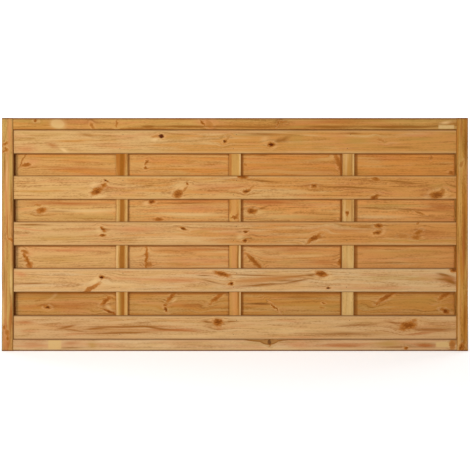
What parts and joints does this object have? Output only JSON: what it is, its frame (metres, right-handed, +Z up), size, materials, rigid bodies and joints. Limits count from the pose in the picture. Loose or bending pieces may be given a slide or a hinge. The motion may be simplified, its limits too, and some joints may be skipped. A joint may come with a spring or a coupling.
{
  "type": "privacy fence panel",
  "caption": "Framed wooden privacy fence panel: thin horizontal boards set alternately on the front and back of upright battens inside a square timber frame.",
  "frame": {"origin": "under the middle of the panel's base, at mid-depth", "axes": "+X along the panel to the right as seen from the front, +Y to the back, +Z up"},
  "size_m": [1.8, 0.045, 0.9],
  "materials": {
    "frame_timber": "planed pressure-treated pine, honey brown, with knots",
    "board_timber": "planed pressure-treated pine, honey brown, with knots",
    "batten_timber": "planed pressure-treated pine, honey brown, with knots",
    "nail_steel": "dull wire nail",
    "screw_steel": "yellow zinc"
  },
  "bodies": {
    "root": {"left_stile": "frame_timber", "right_stile": "frame_timber", "top_rail": "frame_timber", "bottom_rail": "frame_timber", "batten_left": "batten_timber", "batten_middle": "batten_timber", "batten_right": "batten_timber", "front_board_1": "board_timber", "front_board_2": "board_timber", "front_board_3": "board_timber", "front_board_4": "board_timber", "front_board_5": "board_timber", "back_board_1": "board_timber", "back_board_2": "board_timber", "back_board_3": "board_timber", "back_board_4": "board_timber", "front_nails": "nail_steel", "back_nails": "nail_steel", "corner_screws": "screw_steel", "batten_nails": "nail_steel"}
  },
  "joints": []
}
